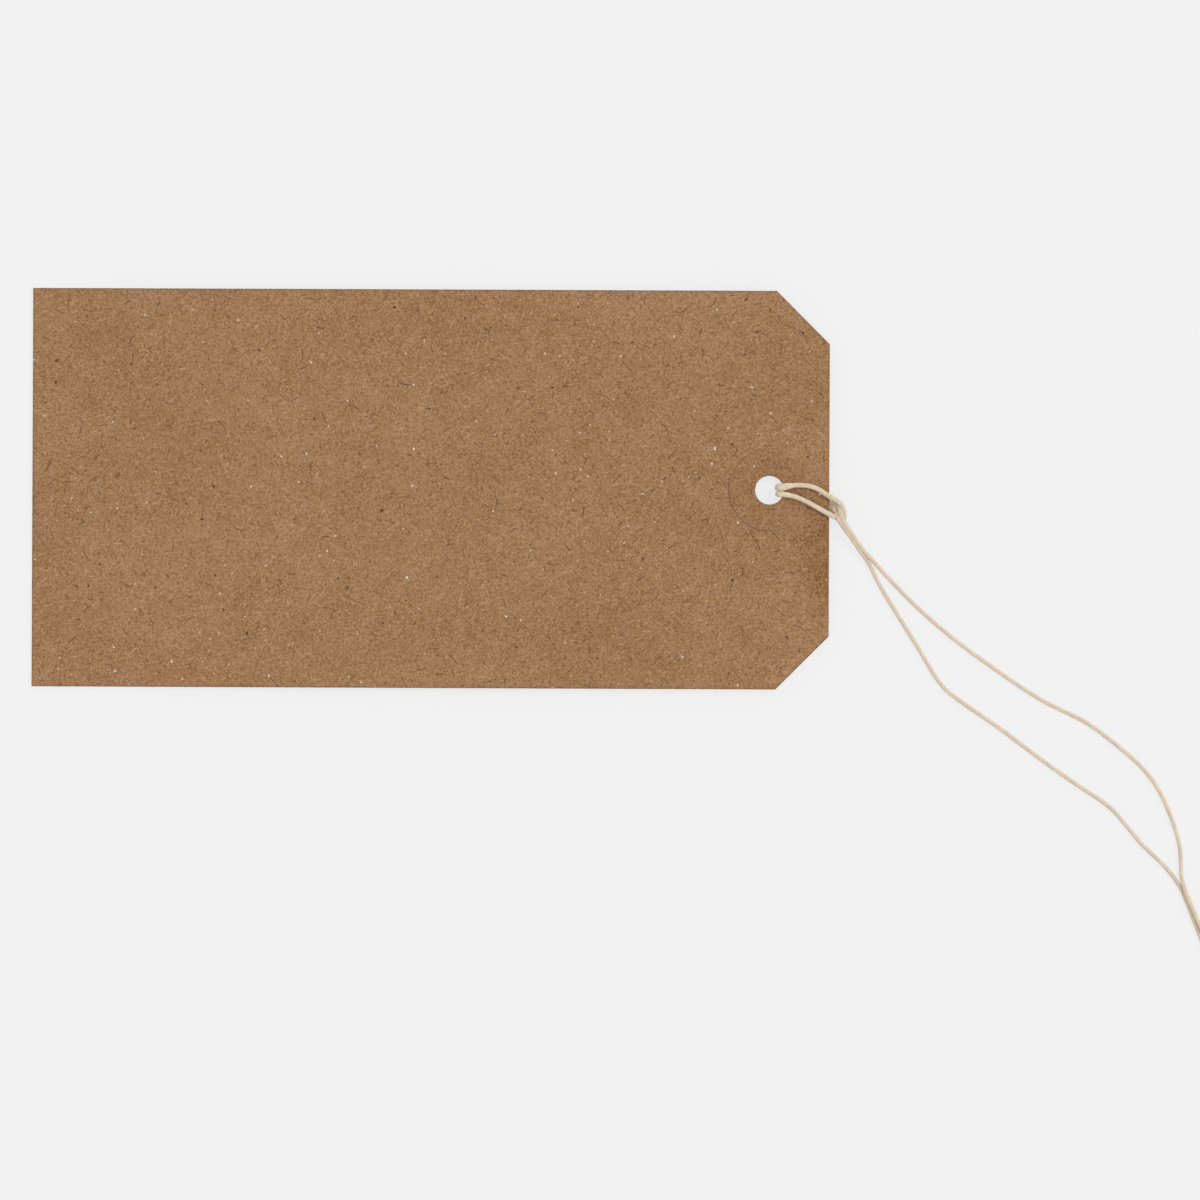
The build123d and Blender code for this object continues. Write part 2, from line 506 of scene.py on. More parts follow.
class Nodes:
    """The nodes of a material or a world, each made from the values and sockets that feed it."""

    def __init__(self, owner):
        owner.use_nodes = True
        self.tree = owner.node_tree

    def node(self, kind, inputs=None, **settings):
        """A new node with these settings, and with its inputs fed."""
        made = self.tree.nodes.new(kind)
        for setting, value in settings.items():
            setattr(made, setting, value)
        for socket, value in (inputs or {}).items():
            self.feed(made.inputs[socket], value)
        return made

    def feed(self, socket, value):
        """A link into the socket from another socket, or else a value for it."""
        if isinstance(value, bpy.types.NodeSocket):
            self.tree.links.new(value, socket)
        else:
            socket.default_value = value

    def math(self, operation, *values):
        """What a sum of numbers comes to."""
        return self.node("ShaderNodeMath", dict(enumerate(values)), operation=operation).outputs[0]

    def background_rays(self):
        """1 for rays that show the background: from the camera, or mirrored or let through on the way."""
        path = self.node("ShaderNodeLightPath").outputs
        share = self.math("MAXIMUM", path["Is Camera Ray"], path["Is Glossy Ray"])
        return self.math("MAXIMUM", share, path["Is Transmission Ray"])


class Shader(Nodes):
    """A material with the usual surface, put together node by node."""

    def __init__(self, name):
        self.material = bpy.data.materials.new(name)
        super().__init__(self.material)
        self.surface = self.tree.nodes["Principled BSDF"]

    def vector(self, operation, *values):
        """What a sum of vectors comes to."""
        return self.node("ShaderNodeVectorMath", dict(enumerate(values)), operation=operation).outputs[0]

    def scaled(self, vector, factor):
        """The vector times the factor."""
        return self.node("ShaderNodeVectorMath", {0: vector, "Scale": factor}, operation="SCALE").outputs[0]

    def length(self, vector):
        """How long the vector is."""
        return self.node("ShaderNodeVectorMath", {0: vector}, operation="LENGTH").outputs["Value"]

    def millimetres(self):
        """The place on the object, in millimetres."""
        place = self.node("ShaderNodeTexCoord").outputs["Object"]
        return self.node("ShaderNodeMapping", {"Vector": place, "Scale": (1 / MM,) * 3}).outputs[0]

    def turned(self, place, angle, scale=(1.0, 1.0, 1.0), shift=(0.0, 0.0, 0.0)):
        """The place, stretched, turned about Z and shifted."""
        inputs = {"Vector": place, "Rotation": (0.0, 0.0, angle), "Scale": scale, "Location": shift}
        return self.node("ShaderNodeMapping", inputs).outputs[0]

    def noise(self, place, waves, detail=0.0, roughness=0.5):
        """A flat noise with this many waves to a millimetre."""
        inputs = {"Vector": place, "Scale": waves, "Detail": detail, "Roughness": roughness}
        return self.node("ShaderNodeTexNoise", inputs, noise_dimensions="2D").outputs

    def cells(self, place):
        """A pattern of flat cells, and three chances for each cell."""
        inputs = {"Vector": place, "Scale": 1.0}
        pattern = self.node("ShaderNodeTexVoronoi", inputs, voronoi_dimensions="2D").outputs
        return pattern, self.node("ShaderNodeSeparateColor", {0: pattern["Color"]}).outputs

    def ramp(self, value, low, high, start=0.0, end=1.0):
        """The value's stretch from low to high as a smooth rise from start to end."""
        inputs = {"Value": value, "From Min": low, "From Max": high, "To Min": start, "To Max": end}
        return self.node("ShaderNodeMapRange", inputs, interpolation_type="SMOOTHSTEP").outputs[0]

    def mix(self, share, under, over):
        """One colour with a share of another over it. These inputs are the ones of a mix of colours."""
        return self.node("ShaderNodeMix", {0: share, 6: under, 7: over}, data_type="RGBA").outputs[2]

    def bump(self, height, depth, strength):
        """A normal for this height, where 1 stands for a depth in millimetres."""
        inputs = {"Height": height, "Distance": depth * MM, "Strength": strength}
        return self.node("ShaderNodeBump", inputs).outputs[0]

    def set(self, **inputs):
        """Feeds for the surface, by the names of its inputs."""
        for socket, value in inputs.items():
            self.feed(self.surface.inputs[socket.replace("_", " ")], value)


# The middle of a noise, and the values that most of it lies between
noise_middle = 0.5
noise_span = (0.3, 0.7)

# The paper's grain, from fine to broad: waves in a millimetre, and how far the tone swings.
# Each is turned against the one before, and those with more waves than relief_from also stand out.
paper_grain = [(5.2, 0.09), (2.5, 0.075), (1.2, 0.050), (0.55, 0.038), (0.24, 0.032), (0.06, 0.033)]
grain_angle = 0.7
grain_turn = 1.1
relief_from = 1.0

# The finest grains are fibre ends, drawn out along three ways of lying
fibre_angles = (0.25, 1.30, 2.35)
fibre_grain = (6.4, 0.125)
fibre_stretch = (0.28, 1.0, 1.0)

# Short bent fibres: their colour, the share of cells that have one, and the way they lie.
# Their reach is given by the least and by how much more it may be.
short_fibres = [
    ((0.17, 0.085, 0.040), 0.045, 0.35),
    ((0.20, 0.105, 0.050), 0.035, 1.35),
    ((0.54, 0.37, 0.235), 0.045, 2.45),
    ((0.52, 0.35, 0.22), 0.035, 2.95),
]
short_scale = (0.42, 5.5, 1.0)
short_reach = (0.16, 0.20)
short_rim = 0.12
short_strength = 0.65

# Curled fibres: their colour, the share of cells that have one, a seed, the size of the cells, half the
# greatest length and half the width, the curl, and how strongly they show at most
paper_threads = [
    ((0.095, 0.042, 0.019), 0.42, 3.1, 2.6, 1.00, 0.100, 0.55, 0.95),
    ((0.14, 0.064, 0.028), 0.50, 5.3, 3.4, 1.40, 0.095, 0.45, 0.80),
    ((0.10, 0.046, 0.021), 0.36, 9.1, 1.7, 0.50, 0.095, 0.60, 0.80),
    ((0.56, 0.39, 0.25), 0.40, 7.7, 2.8, 1.10, 0.080, 0.60, 0.50),
    ((0.60, 0.43, 0.28), 0.30, 12.9, 1.9, 0.45, 0.080, 0.60, 0.50),
]
thread_least = 0.3
thread_tip = 0.2
thread_core = 0.3

# Specks of other stock: their colour, the share of cells that have one, a seed, the size of the cells, the
# least and the greatest radius, and the stretch. Their strength is the least and by how much more they show.
paper_specks = [
    ((0.070, 0.034, 0.016), 0.17, 11.0, 1.7, 0.09, 0.26, 1.30),
    ((0.80, 0.73, 0.60), 0.16, 23.0, 1.6, 0.08, 0.19, 1.12),
    ((0.62, 0.49, 0.35), 0.14, 29.0, 1.3, 0.06, 0.12, 1.20),
    ((0.50, 0.075, 0.055), 0.040, 37.0, 5.0, 0.11, 0.17, 1.10),
    ((0.05, 0.10, 0.26), 0.030, 51.0, 6.0, 0.11, 0.16, 1.10),
    ((0.66, 0.43, 0.045), 0.060, 67.0, 6.0, 0.10, 0.15, 1.05),
]
speck_rarity = 2.0
speck_rim = 0.06
speck_strength = (0.40, 0.55)

# How far and how quickly outlines wander, and an angle that spreads over all ways of lying
wander_reach = 0.36
wander_waves = 2.2
any_turn = 40.0

# The patch at the card's end below the hitch, darkened by painted shade
end_shade_place = (edge_x, -10.0, 0.0)
end_shade_size = (6.5, 12.0)
end_shade_core = 0.25
end_shade_depth = 0.050

# How much each colour changes when the paper's tone swings by 1, so that the swing looks grey
tone_slope = (1.16, 0.864, 0.573)

# Worn edges are patchy, and so is the painted highlight on the washers' pale rims; the paper is rougher on
# its grains than in the hollows
wear_waves = 1.6
wear_span = (0.25, 0.75)
least_wear = 0.35
relief_span = (-0.5, 0.5)
paper_roughness = (0.86, 0.97)


class Kraft(Shader):
    """Recycled brown paper: fine grain, fibres that lie every way, and flecks of other stock."""

    def __init__(self, name, tone, edge_and_highlight_tone, shift=(0.0, 0.0), specked=1.0):
        """Paper of this tone, with the tone of its worn edges, which on the washers also carries a painted
        highlight, its pattern's shift and share of flecks.
        """
        super().__init__(name)
        self.place = self.turned(self.millimetres(), 0.0, shift=(*shift, 0.0))
        wander = self.vector("SUBTRACT", self.noise(self.place, wander_waves)["Color"], (noise_middle,) * 3)
        self.ragged = self.vector("ADD", self.place, self.scaled(wander, wander_reach))
        swing, relief = self.grain()
        # Painted shade darkens the card's end below the hitch
        swing = self.math("SUBTRACT", swing, self.painted_end_shade())
        colour = self.vector("ADD", self.scaled(tone_slope, swing), tone)
        kinds = ((self.fibres, short_fibres), (self.threads, paper_threads), (self.specks, paper_specks))
        for drawn_as, flecks in kinds:
            for shade, share, *form in flecks:
                colour = self.mix(drawn_as(share * specked, *form), colour, (*shade, 1.0))
        # The edge tone over worn edges; on the washers' rims it is also a painted highlight
        wear_and_highlight = self.node("ShaderNodeAttribute", attribute_name="edge").outputs["Fac"]
        patches = self.noise(self.place, wear_waves, detail=2.0)["Fac"]
        wear_and_highlight = self.math("MULTIPLY", wear_and_highlight, self.ramp(patches, *wear_span, least_wear, 1.0))
        colour = self.mix(wear_and_highlight, colour, (*edge_and_highlight_tone, 1.0))
        rough = self.ramp(relief, *relief_span, *paper_roughness)
        self.set(Base_Color=colour, Roughness=rough, Normal=self.bump(relief, depth=0.03, strength=0.5))
        self.surface.inputs["Specular IOR Level"].default_value = 0.2

    def drawn(self, place, angle, scale):
        """The place, turned and then stretched."""
        return self.turned(self.turned(place, angle), 0.0, scale)

    def pick(self, chance, least, more):
        """A value for a chance from 0 to 1: the least, and up to so much more."""
        return self.math("MULTIPLY_ADD", chance, more, least)

    def grain(self):
        """How far the grain swings the paper's tone, and how far it stands out."""
        swing = 0.0
        relief = 0.0
        layers = []
        for step, layer in enumerate(paper_grain):
            layers.append((self.turned(self.place, grain_angle + grain_turn * step), *layer))
        for angle in fibre_angles:
            layers.append((self.drawn(self.place, angle, fibre_stretch), *fibre_grain))
        for place, waves, share in layers:
            grain = self.math("SUBTRACT", self.noise(place, waves)["Fac"], noise_middle)
            swing = self.math("MULTIPLY_ADD", grain, share, swing)
            if waves > relief_from:
                relief = self.math("ADD", grain, relief)
        return swing, relief

    def painted_end_shade(self):
        """How much painted shade darkens the paper at the card's end below the hitch."""
        away = self.vector("SUBTRACT", self.millimetres(), end_shade_place)
        away = self.vector("MULTIPLY", away, (1 / end_shade_size[0], 1 / end_shade_size[1], 0.0))
        return self.ramp(self.length(away), end_shade_core, 1.0, end_shade_depth, 0.0)

    def fibres(self, share, angle):
        """Where short bent fibres lie, about one way of turning."""
        pattern, chance = self.cells(self.drawn(self.ragged, angle, short_scale))
        chosen = self.math("LESS_THAN", chance[0], share)
        reach = self.pick(chance[1], *short_reach)
        inside = self.ramp(self.math("SUBTRACT", reach, pattern["Distance"]), 0.0, short_rim)
        return self.math("MULTIPLY", self.math("MULTIPLY", chosen, inside), short_strength)

    def scattered(self, place, share, seed, cell):
        """Cells of this size over the paper: their chances, which ones are chosen, and the place in each."""
        spread = self.turned(place, seed, (1 / cell, 1 / cell, 1 / cell), (seed, seed / 3, 0.0))
        pattern, chance = self.cells(spread)
        chosen = self.math("LESS_THAN", chance[0], share)
        offset = self.vector("SUBTRACT", spread, pattern["Position"])
        inputs = {"Vector": offset, "Angle": self.math("MULTIPLY", chance[2], any_turn)}
        offset = self.node("ShaderNodeVectorRotate", inputs, rotation_type="Z_AXIS").outputs[0]
        return chance, chosen, offset

    def threads(self, share, seed, cell, half_length, half_width, bend, strength):
        """How much curled fibres show: one thin arc in each of a share of the cells."""
        more = 1 - thread_least
        chance, chosen, offset = self.scattered(self.place, share, seed, cell)
        along, aside, _ = self.node("ShaderNodeSeparateXYZ", {0: self.scaled(offset, cell)}).outputs
        curl = self.pick(chance[0], -bend, 2 * bend / share)
        curled = self.math("MULTIPLY", curl, self.math("MULTIPLY", along, along))
        away = self.math("ABSOLUTE", self.math("SUBTRACT", aside, curled))
        reach = self.pick(chance[1], thread_least * half_length, more * half_length)
        within = self.ramp(self.math("SUBTRACT", reach, self.math("ABSOLUTE", along)), 0.0, thread_tip)
        line = self.ramp(away, half_width, thread_core * half_width)
        shown = self.math("MULTIPLY", self.math("MULTIPLY", within, line), chosen)
        return self.math("MULTIPLY", shown, self.pick(chance[2], thread_least * strength, more * strength))

    def specks(self, share, seed, cell, small, large, stretch):
        """How much specks show: one small spot in each of a share of the cells."""
        chance, chosen, offset = self.scattered(self.ragged, share, seed, cell)
        away = self.length(self.vector("MULTIPLY", offset, (1 / stretch, stretch, 0.0)))
        size = self.math("POWER", chance[1], speck_rarity)
        reach = self.pick(size, small / cell, (large - small) / cell)
        inside = self.ramp(self.math("SUBTRACT", reach, away), 0.0, speck_rim / cell)
        shown = self.math("MULTIPLY", chosen, inside)
        return self.math("MULTIPLY", shown, self.pick(chance[2], *speck_strength))


# Gum and its beads
gum_waves = 3.0
gum_dark = (0.11, 0.052, 0.022, 1.0)
gum_pale = (0.21, 0.11, 0.052, 1.0)
gum_roughness = (0.45, 0.7)


def gum_material():
    """Dried gum: dark brown, a little uneven and a little shiny."""
    gum = Shader("dried_gum")
    beads = gum.noise(gum.millimetres(), gum_waves, detail=2.0)["Fac"]
    colour = gum.mix(gum.ramp(beads, *noise_span), gum_dark, gum_pale)
    rough = gum.ramp(beads, *noise_span, *gum_roughness)
    gum.set(Base_Color=colour, Roughness=rough, Normal=gum.bump(beads, depth=0.02, strength=0.5))
    return gum.material


# Cotton: the waves of its fibres and of its slow changes along and round the yarn, the shades they bring,
# and how far from a ply's crest the painted shade in the groove starts and is deepest
yarn_fibres = (1.2, 30.0, 1.0)
fibre_shades = (0.88, 1.06)
yarn_changes = (0.35, 1.0, 1.0)
change_shades = (0.94, 1.04)
crest_tone = (0.77, 0.64, 0.49, 1.0)
groove_shade_tone = (0.72, 0.59, 0.442, 1.0)
groove_shade_span = (0.25, 0.5)


def cotton_material():
    """Soft unbleached cotton yarn, with painted shade between its plies."""
    yarn = Shader("cotton_yarn")
    along = yarn.node("ShaderNodeUVMap", uv_map="yarn").outputs[0]
    fibres = yarn.noise(yarn.turned(along, 0.0, yarn_fibres), 1.0, detail=3.0, roughness=0.65)["Fac"]
    changes = yarn.noise(yarn.turned(along, 0.0, yarn_changes), 1.0, detail=2.0)["Fac"]
    _, around, _ = yarn.node("ShaderNodeSeparateXYZ", {0: along}).outputs
    from_crest = yarn.math("PINGPONG", yarn.math("MULTIPLY", around, float(ply_count)), groove_shade_span[1])
    # Painted shade darkens the grooves between the plies
    colour = yarn.mix(yarn.ramp(from_crest, *groove_shade_span), crest_tone, groove_shade_tone)
    shade = yarn.ramp(fibres, *noise_span, *fibre_shades)
    slow = yarn.ramp(changes, *noise_span, *change_shades)
    colour = yarn.scaled(colour, yarn.math("MULTIPLY", shade, slow))
    yarn.set(Base_Color=colour, Roughness=0.95, Normal=yarn.bump(fibres, depth=0.02, strength=0.6))
    yarn.surface.inputs["Specular IOR Level"].default_value = 0.15
    yarn.surface.inputs["Sheen Weight"].default_value = 0.06
    return yarn.material


kraft_card = Kraft("kraft_card", tone=(0.345, 0.187, 0.0895), edge_and_highlight_tone=(0.17, 0.082, 0.036)).material
# The washers' pale edge tone is worn paper, and towards the lower right a painted highlight
kraft_washer = Kraft(
    "kraft_washer", tone=(0.322, 0.170, 0.080), edge_and_highlight_tone=(0.46, 0.29, 0.165), shift=(17.3, 41.9), specked=0.6
).material
gum = gum_material()
cotton = cotton_material()


# The string, cut into stretches at the joints; the hitch's stretch rides on the hitch

string_line, string_places = even_steps(spline_points(string_route), string_step)
throat = Vector(frame["joints"][1]["pos_m"]) / MM
fork = Vector(frame["joints"][2]["pos_m"]) / MM
neck_heading = Vector((fork.x - throat.x, fork.y - throat.y, 0.0))
neck_run = neck_heading.length
neck_heading.normalize()
down_neck = (string_line - np.array(throat)) @ np.array(neck_heading)
line_x, line_y, line_z = string_line.T

# The string is fuller where it lies loose: at the hole, over the card and past its end
over_fullness = 0.24
end_fullness = 0.74
hole_fullness = (0.85, 0.42)
over_heights = (-0.2, 0.4)
end_heights = (-0.3, 0.3)
end_reach = (edge_x - 0.4, edge_x + 0.1)
hole_reach = (hole_x + 2.2, hole_x + 4.0)
neck_reach = (-1.5, 2.5)
is_over = smooth_rise(line_z, *over_heights)
over_card = over_fullness * is_over
in_hole = np.where(line_y > 0.0, *hole_fullness)
in_hole = in_hole * (1.0 - smooth_rise(line_x, *hole_reach)) * is_over
past_edge = end_fullness * smooth_rise(line_x, *end_reach) * (1.0 - smooth_rise(line_z, *end_heights))
still_near = 1.0 - smooth_rise(down_neck, *neck_reach)
fullness = 1.0 + np.maximum(np.maximum(over_card, in_hole), past_edge) * still_near
rings = string_rings(string_line, string_places, uneven(string_places, seed=0.0) * fullness)

# Under the card, as far as its end sweeps when the hitch swings, the string is pressed flat
room = card_low.z - sweep_gap + sweep_rise * np.maximum(0.0, past_sweep(rings))
pressed = np.minimum(rings[..., 2], room)
is_under = (line_z < 0.0) & (np.hypot(line_x - hole_x, line_y) > hole_radius)
rings[..., 2] = np.where(is_under[:, None], pressed, rings[..., 2])

# How far the string bends each way from a joint, and where it is cut into stretches
throat_bend = 1.5
cut_margin = 0.1
hitch_cut = -throat_bend - cut_margin
neck_cut = neck_run / 2 - cut_margin
first = [int(np.argmax(down_neck < cut)) for cut in (neck_cut, hitch_cut)]
last = [int(len(down_neck) - 1 - np.argmax(down_neck[::-1] < cut)) for cut in (hitch_cut, neck_cut)]
cuts = [0, *first, *last, len(string_line) - 1]
stretches = [
    "loop_string_upper", "neck_string_upper", "hitch_string", "neck_string_lower", "loop_string_lower",
]
string = {}
string_path = {}
for stretch, begin, end in zip(stretches, cuts, cuts[1:]):
    span = slice(begin, end + 1)
    tubes = Tubes()
    add_string(tubes, rings[span], string_line[span], string_places[span])
    string[stretch] = tubes.piece(stretch, cotton)
    string_path[stretch] = [tuple(point) for point in string_line[span] * MM]
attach(string["hitch_string"], "hitch")
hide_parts("string_hitch")
for side in ("upper", "lower"):
    neck_piece = string[f"neck_string_{side}"]
    loop_piece = string[f"loop_string_{side}"]
    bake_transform(neck_piece)
    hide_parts(f"neck_strand_{side}")
    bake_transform(loop_piece)
    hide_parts(f"loop_strand_{side}")

# The knot, whose strands are squeezed once they are well inside it
knot_squeeze = 0.82
squeeze_run = 0.6
tubes = Tubes()
for side in (1, -1):
    line, places = even_steps(spline_points(knot_route(side)), string_step / 2)
    from_end = np.minimum(places, places[-1] - places)
    squeeze = 1.0 - (1.0 - knot_squeeze) * smooth_rise(from_end, 0.0, squeeze_run)
    knot_rings = string_rings(line, places, uneven(places, seed=20.0 + side) * squeeze)
    add_string(tubes, knot_rings, line, places)
knot = tubes.piece("knot_string", cotton)
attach(knot, "loop")
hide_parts("end_knot")

# The tails: how much thinner they get at the end, and over which run
tail_taper = 0.35
taper_run = 0.8
end_steps = np.linspace(0.0, 1.0, 7)

# The plies and fibres that a tail's cut end opens into: the ring where they start, their radii, the gap that
# they keep over the floor, and their sides
end_ply = (-8, 0.14 - 0.07 * end_steps**2, 0.13, 8)
end_ply_angle = 0.4
end_fibre = (-6, 0.022 - 0.013 * end_steps, 0.03, 4)
end_fibre_count = 16


def add_splayed(tubes, line, places, form, angle, aside, length, splay):
    """A ply or fibre that runs on from a cut end and bends outward."""
    ring, radii, gap, sides = form
    heading = unit(line[-1] - line[-4])
    out = np.cross(heading, (0.0, 0.0, 1.0)) * math.cos(angle) + np.array((0.0, 0.0, math.sin(angle)))
    begin = line[ring] + out * aside
    bent = np.array([begin + heading * length * step + out * splay * step * step for step in end_steps])
    bent[:, 2] = np.maximum(bent[:, 2], surface + gap)
    tubes.add(thin_rings(bent, radii, sides), places[ring] + end_steps * length, 0.0)


def open_end(tubes, line, places):
    """The plies and fibres that a tail's cut end opens into."""
    for ply in range(ply_count):
        angle = math.tau * ply / ply_count + end_ply_angle
        length = chance.uniform(1.3, 1.7)
        add_splayed(tubes, line, places, end_ply, angle, aside=0.06, length=length, splay=0.22)
    for _ in range(end_fibre_count):
        angle = chance.uniform(0.0, math.tau)
        aside = chance.uniform(0.02, 0.16)
        length = chance.uniform(1.2, 2.3)
        splay = chance.uniform(0.1, 0.7)
        add_splayed(tubes, line, places, end_fibre, angle, aside, length, splay)


for side, route in (("upper", tail_upper_route), ("lower", tail_lower_route)):
    line, places = even_steps(spline_points(route), string_step)
    taper = 1.0 - tail_taper * smooth_rise(places, places[-1] - taper_run, places[-1])
    tail_rings = string_rings(line, places, uneven(places, seed=3.0) * taper)
    tubes = Tubes()
    add_string(tubes, tail_rings, line, places)
    open_end(tubes, line, places)
    tail = tubes.piece(f"tail_string_{side}", cotton)
    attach(tail, "loop")
    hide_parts(f"tail_{side}")
    string[f"tail_{side}"] = tail

# The path of each side of the loop, in metres, turned to run from the fork to the knot
for side in ("upper", "lower"):
    path = string_path[f"loop_string_{side}"]
    if side == "upper":
        path = path[::-1]


# The card

card_half = card_high.z
outline_step = 0.5
hole_steps = 64

# The faces' inner points: their spacing, and how far they keep from the cut corners and the hole
grid_step = 3.0
corner_margin = 1.0
hole_margin = 1.2
merge_distance = 1e-5

# How the card lies: its plain end rests on the floor, and away from the washer it is a little wavy
droop_start = 20.0
droop = 0.80
cockle = 0.03
cockle_waves = (0.035, 0.045)
cockle_seed = 3.0
calm_reach = 12.0

# How ragged a cut is, along it and through the card, and how far in that shows
ragged_cut = 0.012
ragged_waves = 2.1
ragged_depth_waves = 3.0
cut_reach = 0.3

# How a cut edge is rounded: how far in from the cut, and how far under the front face or over the rear one
front_rim = [(0.45, 0.0), (0.12, 0.003), (0.04, 0.022), (0.0, 0.085)]
rear_rim = [(0.0, 0.05), (0.02, 0.014), (0.08, 0.0), (0.45, 0.0)]


def card_lift(x, y):
    """How far the card stands off its plane."""
    share = max(0.0, (droop_start - x) / (droop_start - card_low.x))
    away = min(1.0, max(0.0, math.hypot(x - hole_x, y) - patch_radius) / calm_reach)
    wave = noise.noise(Vector((x * cockle_waves[0], y * cockle_waves[1], cockle_seed)))
    return -droop * share * share + cockle * wave * away


def outline_points():
    """Points round the card's outline, and the way out of the card at each."""
    low, high = card_low, card_high
    corners = [
        Vector((low.x, low.y)),
        Vector((high.x - corner_cut, low.y)),
        Vector((high.x, low.y + corner_cut)),
        Vector((high.x, high.y - corner_cut)),
        Vector((high.x - corner_cut, high.y)),
        Vector((low.x, high.y)),
    ]
    points = []
    for begin, end in zip(corners, corners[1:] + corners[:1]):
        count = round((end - begin).length / outline_step)
        points += [begin.lerp(end, step / count) for step in range(count)]
    outward = []
    for before, after in zip(points[-1:] + points[:-1], points[1:] + points[:1]):
        run = (after - before).normalized()
        outward.append(Vector((run.y, -run.x)))
    return points, outward


def hole_points():
    """Points round the hole, and the way out of the card at each."""
    angles = [math.tau * step / hole_steps for step in range(hole_steps)]
    inward = [Vector((-math.cos(angle), -math.sin(angle))) for angle in angles]
    return [Vector((hole_x, 0.0)) - hole_radius * direction for direction in inward], inward


class CardMesh:
    """The die-cut card as a closed mesh: rounded cut edges all round, and both faces."""

    def __init__(self):
        self.points = []
        self.wear_and_highlight = []
        self.faces = []

    def add_point(self, place, z, wear):
        """A point on the card as it lies, and its number."""
        self.points.append((place.x, place.y, z + card_lift(place.x, place.y)))
        self.wear_and_highlight.append(wear)
        return len(self.points) - 1

    def add_rim(self, places, outward):
        """A rounded cut edge along these places. Its first and last rings lie on the two faces."""
        rim = [(inset, card_half - under) for inset, under in front_rim]
        rim += [(inset, over - card_half) for inset, over in rear_rim]
        rings = []
        for inset, z in rim:
            near_cut = 1.0 - min(1.0, inset / cut_reach)
            ring = []
            for place, direction in zip(places, outward):
                spot = Vector((place.x * ragged_waves, place.y * ragged_waves, z * ragged_depth_waves))
                ragged = ragged_cut * noise.noise(spot)
                ring.append(self.add_point(place - direction * (inset - ragged * near_cut), z, near_cut**2))
            rings.append(ring)
        for upper, lower in zip(rings, rings[1:]):
            for k, after in ring_edges(0, len(places)):
                self.faces.append((lower[k], lower[after], upper[after], upper[k]))
        return rings[0], rings[-1]

    def add_faces(self, front_rings, rear_rings):
        """The front and the rear face, inside the outline's ring and outside the hole's."""
        flat = [Vector(self.points[number][:2]) for ring in front_rings for number in ring]
        on_rims = len(flat)
        edges = []
        for ring in front_rings:
            edges += ring_edges(len(edges), len(ring))
        for x in np.arange(card_low.x + grid_step / 2, card_high.x, grid_step):
            for y in np.arange(card_low.y + grid_step / 2, card_high.y, grid_step):
                past_cut = x + abs(y) > card_high.x + card_high.y - corner_cut - corner_margin
                if not past_cut and math.hypot(x - hole_x, y) > hole_radius + hole_margin:
                    flat.append(Vector((x, y)))
        places, _, triangles, origins, *_ = geometry.delaunay_2d_cdt(flat, edges, [], 1, merge_distance)
        middle = Vector((hole_x, 0.0))
        over_hole = hole_radius + front_rim[0][0] / 2 + cut_reach
        triangles = [
            triangle
            for triangle in triangles
            if max((places[corner] - middle).length for corner in triangle) > over_hole
        ]
        for rings, z, order in ((front_rings, card_half, 1), (rear_rings, -card_half, -1)):
            on_face = [number for ring in rings for number in ring]
            numbers = []
            for place, sources in zip(places, origins):
                known = [source for source in sources if source < on_rims]
                numbers.append(on_face[known[0]] if known else self.add_point(place, z, 0.0))
            self.faces += [tuple(numbers[corner] for corner in triangle[::order]) for triangle in triangles]


def add_wear_and_highlight(piece, wear_and_highlight):
    """How worn each point of a paper piece is, and on the washers' rims how much painted highlight it has,
    for its material.
    """
    attribute = piece.data.attributes.new("edge", "FLOAT", "POINT")
    attribute.data.foreach_set("value", wear_and_highlight)


def make_card():
    """The card, on the body that carries it."""
    mesh = CardMesh()
    rims = [mesh.add_rim(*outline_points()), mesh.add_rim(*hole_points())]
    mesh.add_faces(*zip(*rims))
    card = mesh_object("kraft_card", mesh.points, mesh.faces, kraft_card)
    add_wear_and_highlight(card, mesh.wear_and_highlight)
    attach(card, "tag")
    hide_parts("tag_card")


# The washers round the hole, and the gum that holds them

ring_steps = 240

# A washer's cut rim is pale with wear, and a painted highlight makes it palest at the lower right, towards
# the light, where the gum doesn't hide it
least_rim_paleness = 0.35
highlight_side = math.radians(-40)

# How ragged a washer's rim is, and how far the gum comes out past it, farthest on the lower left as painted
# shade
rim_ripple = 0.02
rim_waves = 9.0
rim_seed = 1.0
gum_reach = 0.044
gum_shade_side = math.radians(220)
bead_reach = 0.045
bead_waves = 7.0
bead_seed = 8.0


def rim_wear_and_highlight(angle):
    """How pale the washer's cut rim is: its wear, with a painted highlight towards the lower right."""
    return least_rim_paleness + (1 - least_rim_paleness) * (0.5 + 0.5 * math.cos(angle - highlight_side))


def round_noise(angle, waves, seed):
    """A noise that closes on itself round the hole."""
    return noise.noise(Vector((math.cos(angle) * waves, math.sin(angle) * waves, seed)))


def cut_ripple(angle):
    """How ragged the washer's punched edge is."""
    return rim_ripple * round_noise(angle, rim_waves, rim_seed)


def gum_and_shade_ripple(angle):
    """How far the gum was pressed out past the washer's edge: most on the side away from the card's end and
    the lamp, where the dark gum stands in as painted shade.
    """
    beads = bead_reach * round_noise(angle, bead_waves, bead_seed)
    return gum_reach + gum_reach * math.cos(angle - gum_shade_side) + beads


